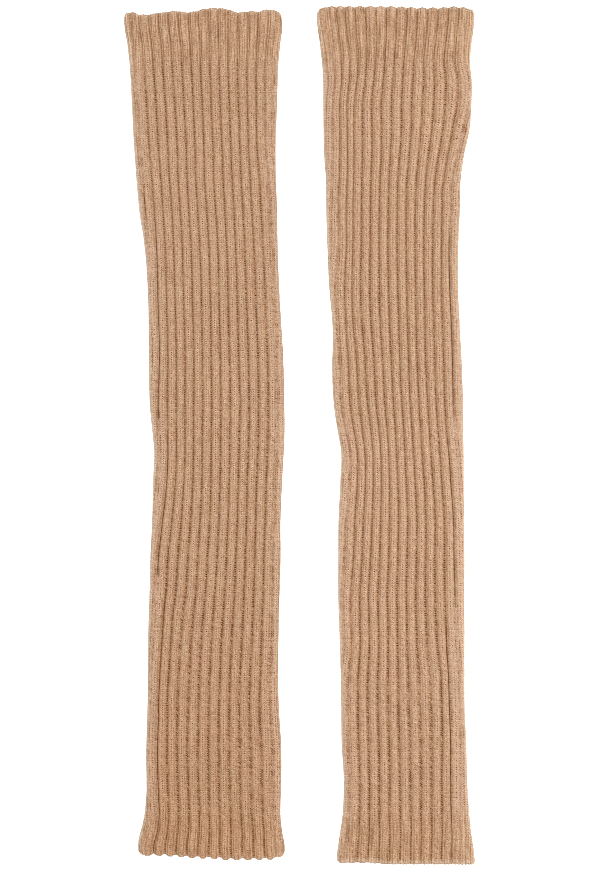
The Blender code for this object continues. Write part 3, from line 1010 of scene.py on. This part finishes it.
# %% The stitch marks
TURN = 2 * math.pi
GAP_MIDDLE, GAP_LEAN = 0.4875, -0.0375      # the u of the gap between a rib's columns, by warmer
GROOVE_FADE = (0.25, 0.06)          # from where to where a groove's colour comes in
HOLE_FADE, HOLE_DIP = 0.072, (0.30, 0.85)
SIDE_HOLE_AT, SIDE_HOLE_FADE = 0.3, (0.07, 0.01)        # the holes where the knit is opened flat
PIT_FADE, PIT_DIP = (0.125, 0.02), (0.15, 0.90)
LOOP_FADE = (0.18, 0.04)
WIDE_FROM = (0.95, 0.72)            # the relief at which a groove begins to lie open, and does
WIDE_GROOVE, WIDE_PIT, WIDE_GRAIN = -0.40, -0.60, 0.4   # how much its marks change there
HALF_ROW, PURL_CURVE = 0.25, 14.0
GRAIN_ACROSS, GRAIN_DOWN, GRAIN_STRENGTH = 9.0, 2.1, 2.0

# Lines down the rib: the u, the distance from the gap, or the u from the middle towards the light.
# Then how far to either side the line fades out.
DOWN_LINES = (
    ("Gap", "from gap", 0.0, 0.09), ("Vein", "from gap", 0.21, 0.07),
    ("Outer", "from gap", 0.33, 0.08), ("Lit", "leaning", -0.22, 0.18),
    ("Ridge", "leaning", 0.10, 0.08), ("Shaded", "leaning", 0.225, 0.09),
    ("Deep", "in rib", 0.94, 0.10), ("Rim", "in rib", 0.825, 0.065),
)


def stitch_marks():
    """Marks for the holes, loops, grooves and lines of the knit, from its coordinates."""
    group, (ribs, rows, relief, lean), gives = new_group(
        "stitch marks", ("Ribs", "Rows", "Relief", "Lean"),
        (
            "Groove", "Hole", "Leg", "Purl", "Loop", "Pit", "Grain",
            *(line[0] for line in DOWN_LINES),
        ),
    )
    in_rib = maths("FRACT", ribs)
    from_groove = maths("MINIMUM", in_rib, 1.0 - in_rib)
    from_gap = maths("ABSOLUTE", in_rib - (lean * GAP_LEAN + GAP_MIDDLE))
    leg = maths("COSINE", rows * TURN) * 0.5 + 0.5
    dip = 1.0 - leg

    wide = soft_step(relief, *WIDE_FROM)
    # Where the groove's painted shade lies; its purl bumps and grain lie there too.
    groove = soft_step(from_groove, *GROOVE_FADE) * relief * (wide * WIDE_GROOVE + 1.0)
    column_side = maths("SIGN", in_rib - 0.5)
    purl_place = wide * column_side * HALF_ROW + rows
    purl_row = maths("COSINE", purl_place * TURN + from_groove * PURL_CURVE)
    purl = (purl_row * 0.5 + 0.5) * groove
    purl_dip = 0.5 - maths("COSINE", purl_place * TURN) * 0.5
    # The pits' painted shade, between the purl bumps down in a groove.
    pit = soft_step(from_groove, *PIT_FADE) * soft_step(purl_dip, *PIT_DIP) * relief
    # Down in the groove each purl loop catches the light or hides from it, without any order.
    grain = noise_at(flat_place(ribs * GRAIN_ACROSS, rows * GRAIN_DOWN)) * GRAIN_STRENGTH * groove

    # The holes' painted shade: between the columns at each dip, and beside each column where the
    # knit is opened flat.
    hole = soft_step(from_gap, HOLE_FADE, 0.0) * soft_step(dip, *HOLE_DIP)
    from_side = maths("ABSOLUTE", from_gap - SIDE_HOLE_AT)
    side_hole = soft_step(from_side, *SIDE_HOLE_FADE) * dip * (1.0 - relief)
    marks = {
        "Groove": groove,
        "Hole": at_least(hole, side_hole),
        "Leg": leg,
        "Purl": purl,
        "Loop": soft_step(from_gap, *LOOP_FADE) * leg,
        "Pit": pit * (wide * WIDE_PIT + 1.0),
        "Grain": grain * (wide * WIDE_GRAIN + 1.0),
    }
    from_where = {"from gap": from_gap, "leaning": (in_rib - 0.5) * lean, "in rib": in_rib}
    for name, across, place, fade in DOWN_LINES:
        marks[name] = line_at(from_where[across], place, fade)
    for name, value in marks.items():
        feed(gives[name], value)
    return group


STITCH_MARKS = stitch_marks()
print("stitch marks:", len(STITCH_MARKS.nodes), "nodes")

# %% [markdown]
# Wool is never one colour. Its fibres catch the light as fine specks, the dye drifts a little
# toward pink in one place and toward green in another, and a worn or pulled stitch is lighter than
# its neighbour. A second group makes those from noise in the object's own space, at the sizes that
# the real things have.


# %% The yarn's unevenness
NOISES = (                          # the scale, the detail and the stretch of each
    ("Speck", 1150, 1.0, (1.5, 1.0, 1.0)), ("Drift", 22, 2.0, (1, 1, 1)),
    ("Hue", 34, 1.0, (1.3, 0.8, 1)), ("Blotch", 130, 0.0, (1, 1, 1)),
    ("Streak", 1400, 1.0, (1, 0.05, 1)), ("Burst", 330, 1.0, (1, 0.45, 1)),
)


def yarn_unevenness():
    """Specks of fibre, stitches and holes that differ, slow drift and long streaks, round zero."""
    group, (ribs, rows), gives = new_group(
        "yarn unevenness", ("Ribs", "Rows"), ("Stitch", "Dot", *(noise[0] for noise in NOISES))
    )
    place = Wire(group, group.nodes.new("ShaderNodeTexCoord").outputs["Object"])
    for name, scale, detail, stretch in NOISES:
        mapping = group.nodes.new("ShaderNodeMapping")
        mapping.inputs["Scale"].default_value = stretch
        feed(mapping.inputs["Vector"], place)
        feed(gives[name], noise_at(Wire(group, mapping.outputs["Vector"]), scale, detail))

    # One value for each stitch, and one for each hole, which lies half a column and a row away.
    for name, column_shift, row_shift in (("Stitch", 0.0, 0.5), ("Dot", 0.5, 0.0)):
        column, row = maths("FLOOR", ribs * 2.0 + column_shift), maths("FLOOR", rows + row_shift)
        white = group.nodes.new("ShaderNodeTexWhiteNoise")
        white.noise_dimensions = "2D"
        feed(white.inputs["Vector"], flat_place(column, row))
        feed(gives[name], Wire(group, white.outputs["Value"]) * 2.0 - 1.0)
    return group


YARN_UNEVENNESS = yarn_unevenness()
print("yarn unevenness:", len(YARN_UNEVENNESS.nodes), "nodes")

# %% [markdown]
# The finish itself is one Principled shader: rough, with a soft sheen from the loose fibres. The
# sleeve shows its holes and purl bumps. The bands are knitted tighter, so theirs are almost closed,
# and long pulled streaks show instead. The change takes a centimetre, so it can't be two materials
# side by side: one material reads how tightly the knit is closed, and turns each effect up or down.

# %% The knit's colours
CROWN = (0.521, 0.32, 0.199, 1)
# painted shade: the darker, redder light that comes out of a groove
GROOVE_SHADE = (0.355, 0.189, 0.090, 1)
# painted shade: the dark inside of a hole between a rib's columns
HOLE_SHADE = (0.165, 0.045, 0.0, 1)
# painted shade: a pit between the purl bumps in a groove
PIT_SHADE = (0.122, 0.033, 0.0, 1)
# painted shade: the deep crease of the outermost groove
CREASE_SHADE = (0.17, 0.055, 0.0, 1)
OPEN_FLAT = (0.540, 0.341, 0.222, 1)    # where the knit is opened flat, seen a little from its side
PALE, PALE_SHARE = (0.64, 0.47, 0.34, 1), 0.5
BAND_TINT = (0.985, 0.98, 0.965, 1)
WRIST_TINT = (0.954, 0.897, 0.825, 1)   # the colour is made a little deeper and warmer towards the wrists
DEEPER_FROM = (0.0, -0.27)              # in metres from the middle
LOOSER_FROM = (0.11, 0.04)              # the same, where the holes begin to be larger, and are
SHADER_VALUES = {
    "Roughness": 0.92, "Specular IOR Level": 0.25,
    "Sheen Weight": 0.12, "Sheen Roughness": 0.45, "Sheen Tint": (1.0, 0.93, 0.86, 1),
}
BUMP, FIBRE_RELIEF = 0.5, 0.00022
HEIGHTS = {"Leg": 0.45, "Hole": -0.5, "Purl": 0.5, "Speck": 0.35, "Streak": 0.15}

# %% [markdown]
# Some effects are spots of another colour, and others make the yarn lighter or darker along a line
# or in a dot; most of these lines and dots are painted light and shade from the rib's relief and
# the lamps. Each has two strengths, for the sleeve and for the bands. They were found by comparing
# the brightness across a rib with the real one's.

# %% The strengths of the effects
# loose: on the sleeve. tight: where the knit is fully closed.
Effect = namedtuple("Effect", "loose tight")
HOLES = Effect(1.45, 0.45)
PITS = Effect(3.70, 0.55)
PURLS = Effect(0.60, 0.10)
CREASES = Effect(0.95, 0.45)
# Painted light within a stitch: a lighter loop beside the gap, and lighter legs over darker dips.
LOOPS, LOOP_MEAN = Effect(0.42, 0.15), 0.2
LEGS, LEG_MEAN = Effect(0.12, 0.04), 0.5
STITCHES = 0.07
LINES = {
    "Speck": Effect(0.80, 0.80),
    "Grain": Effect(0.55, 0.35),
    "Drift": Effect(0.05, 0.05),
    "Streak": Effect(0.22, 0.75),
    # Painted shade in the gap between a rib's two columns, on the sleeve; the bands' is a little
    # lighter.
    "Gap": Effect(-0.10, 0.05),
    # Painted shade along a line down each column, in the bands.
    "Vein": Effect(0.0, -0.32),
    # Painted highlight along the outer side of each column.
    "Outer": Effect(0.03, 0.14),
    "Lit": Effect(0.11, 0.0),           # the flank that is turned to the light
    # Painted highlight along a crest of the rib.
    "Ridge": Effect(0.09, 0.0),
    "Shaded": Effect(-0.12, 0.0),       # a line on the other flank
    "Deep": Effect(-0.20, -0.20),       # beside a groove, where its wall faces away from the light
    "Rim": Effect(0.04, 0.34),          # painted highlight above that wall
}
WRIST_BAND_DARK = -0.04
DARKEST = -0.45
LOW_GAP, LOW_SHADED = 1.2, -2.0         # how two lines change low on the left and on the right

# How an effect varies: by how much, and round or from what. The dots of colour come in clumps,
# which differ less towards the wrist. They also differ from stitch to stitch.
CLUMPS, CLUMPS_LOWER, CLUMPS_MEAN = 2.2, -1.3, 0.75
ODD_STITCHES = (1.2, 0.8)
LOOSER = (0.40, 0.87)
GROOVE_VARIES = (0.4, 0.95)
CREASE_VARIES = (0.4, 0.55)
HOLE_IN_SIGHT = (0.3, 0.7)
TINT_ON_RIBS = (0.6, 0.4)
TINT_ON_LEFT = (0.6, 0.4)

# Where the colour is made lighter, by painted light and by lighter fibres alike, it is also paler,
# and where darker, redder. reach: how far a channel follows the change of brightness down a whole
# line of stitches. dots: the same within a stitch, where the stitch's own shape already darkens
# every channel alike. lean: how far it follows the drift between pink and green.
Channel = namedtuple("Channel", "name reach dots lean")
CHANNELS = (
    Channel("Red", 0.84, 0.74, 0.008),
    Channel("Green", 1.06, 1.06, -0.008),
    Channel("Blue", 1.30, 1.42, 0.009),
)
BLOTCH_LEAN = 1.6


# %% The knit finish
def knit_finish(name):
    """The material of the knit."""
    material = bpy.data.materials.new(name)
    material.use_nodes = True
    tree = material.node_tree
    shader = tree.nodes["Principled BSDF"]
    for socket, value in SHADER_VALUES.items():
        shader.inputs[socket].default_value = value

    knit_map = tree.nodes.new("ShaderNodeUVMap")
    knit_map.uv_map = "knit"
    ribs, rows = two_of(Wire(tree, knit_map.outputs["UV"]))
    own_space = tree.nodes.new("ShaderNodeTexCoord").outputs["Object"]
    across, along = two_of(Wire(tree, own_space))
    mark = {}
    for attribute in MARKS[2:]:
        node = tree.nodes.new("ShaderNodeAttribute")
        node.attribute_name = attribute
        mark[attribute] = Wire(tree, node.outputs["Fac"])
    relief, closed = mark["relief"], mark["closed"]
    knit = {"Ribs": ribs, "Rows": rows}
    see = placed(tree, STITCH_MARKS, {**knit, "Relief": relief, "Lean": maths("SIGN", across)})
    see.update(placed(tree, YARN_UNEVENNESS, knit))

    def strength(effect):
        return closed * (effect.tight - effect.loose) + effect.loose

    def varied(value, spread, mean):
        return value * spread + mean

    towards_wrist = soft_step(along, *DEEPER_FROM)
    on_left = maths("LESS_THAN", across, 0.0)
    low_left = towards_wrist * on_left
    low_right = towards_wrist - low_left
    looser = varied(soft_step(along, *LOOSER_FROM), *LOOSER)
    clumps = varied(towards_wrist, CLUMPS_LOWER, CLUMPS)
    burst = at_least(varied(see["Burst"], clumps, CLUMPS_MEAN), 0.0)
    odd = at_least(varied(see["Dot"], *ODD_STITCHES), 0.0)
    odd_burst = burst * odd * looser

    # The spots of other colours, from the widest to the finest: painted shade in the grooves,
    # holes, pits and creases, painted light on the purl bumps, and the paler open edges, with
    # painted light and sheen on the folds.
    colour = mix_colours(at_least(relief, closed), OPEN_FLAT, CROWN)
    for share, spot in (
        (varied(see["Blotch"], *GROOVE_VARIES) * see["Groove"], GROOVE_SHADE),
        (see["Hole"] * odd_burst * strength(HOLES) * varied(relief, *HOLE_IN_SIGHT), HOLE_SHADE),
        (see["Pit"] * odd_burst * strength(PITS), PIT_SHADE),
        (see["Purl"] * burst * strength(PURLS), CROWN),
        (mark["crease"] * strength(CREASES) * varied(odd, *CREASE_VARIES), CREASE_SHADE),
        # paler yarn at the open edges and finished rows, and painted light and sheen round the
        # folds
        (mark["pale_and_fold_light"] * PALE_SHARE, PALE),
    ):
        colour = mix_colours(share, colour, spot)

    # What makes it lighter or darker, most of it painted light and shade: dots within a stitch,
    # then lines of stitches.
    dots = (
        see["Stitch"] * STITCHES
        + (see["Loop"] - LOOP_MEAN) * burst * looser * strength(LOOPS)
        + (see["Leg"] - LEG_MEAN) * strength(LEGS)
    )
    strengths = {line: strength(effect) for line, effect in LINES.items()}
    for line, change in (
        ("Gap", varied(low_left, LOW_GAP, 1.0)), ("Shaded", varied(low_right, LOW_SHADED, 1.0)),
        ("Deep", relief * relief),
    ):
        strengths[line] = strengths[line] * change
    lines = mark["side light"] + closed * towards_wrist * WRIST_BAND_DARK
    for line, amount in strengths.items():
        lines = lines + see[line] * amount
    lines = at_least(lines, DARKEST)
    hue = see["Blotch"] * BLOTCH_LEAN + see["Hue"]
    tint = tree.nodes.new("ShaderNodeCombineColor")
    for channel in CHANNELS:
        value = lines * channel.reach + dots * channel.dots + hue * channel.lean + 1.0
        feed(tint.inputs[channel.name], value)
    deeper = towards_wrist * varied(on_left, *TINT_ON_LEFT) * varied(relief, *TINT_ON_RIBS)
    for share, shade in (
        (1.0, Wire(tree, tint.outputs["Color"])), (closed, BAND_TINT), (deeper, WRIST_TINT),
    ):
        colour = mix_colours(share, colour, shade, "MULTIPLY")
    feed(shader.inputs["Base Color"], colour)

    bump = tree.nodes.new("ShaderNodeBump")
    bump.inputs["Strength"].default_value = BUMP
    bump.inputs["Distance"].default_value = FIBRE_RELIEF
    feed(bump.inputs["Height"], sum(see[part] * height for part, height in HEIGHTS.items()))
    tree.links.new(bump.outputs["Normal"], shader.inputs["Normal"])
    print(f"{name}: {len(tree.nodes)} nodes")
    return material


CAMEL_KNIT = knit_finish("camel knit")

# %% [markdown]
# ## The two warmers
#
# Each warmer is three pieces that meet row on row: the upper band, the sleeve and the wrist band.
# They are knitted on without a seam, so where two pieces meet they share the same points. Each
# piece replaces its CAD solid, and its size if the tube were cut open along one side is printed.

# %% Build the pieces
for warmer, seed in ((LEFT, 11), (RIGHT, 47)):
    upper_end, wrist_end = warmer.sections[0].along, warmer.sections[-1].along
    for part, low, high, courses in (
        ("upper_band", UPPER_BAND_AT, upper_end, 24),
        ("sleeve", WRIST_BAND_AT, UPPER_BAND_AT, 328),
        ("wrist_band", wrist_end, WRIST_BAND_AT, 20),
    ):
        node = f"{warmer.side}_{part}"
        piece = build_tube(f"{node}_knit", warmer, low, high, courses, seed, CAMEL_KNIT)
        middle = sections_at(warmer.sections, np.array([(low + high) / 2]))
        width = float(middle.right[0, 0] - middle.left[0, 0])
        way_round = 2 * (width - 2 * FOLD_RADIUS + math.pi * FOLD_RADIUS)
        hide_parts(node)
        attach(piece, "root")
        (high - low) * MM
        print(f"{node}: cut open {way_round:.0f} x {high - low:.0f} mm")
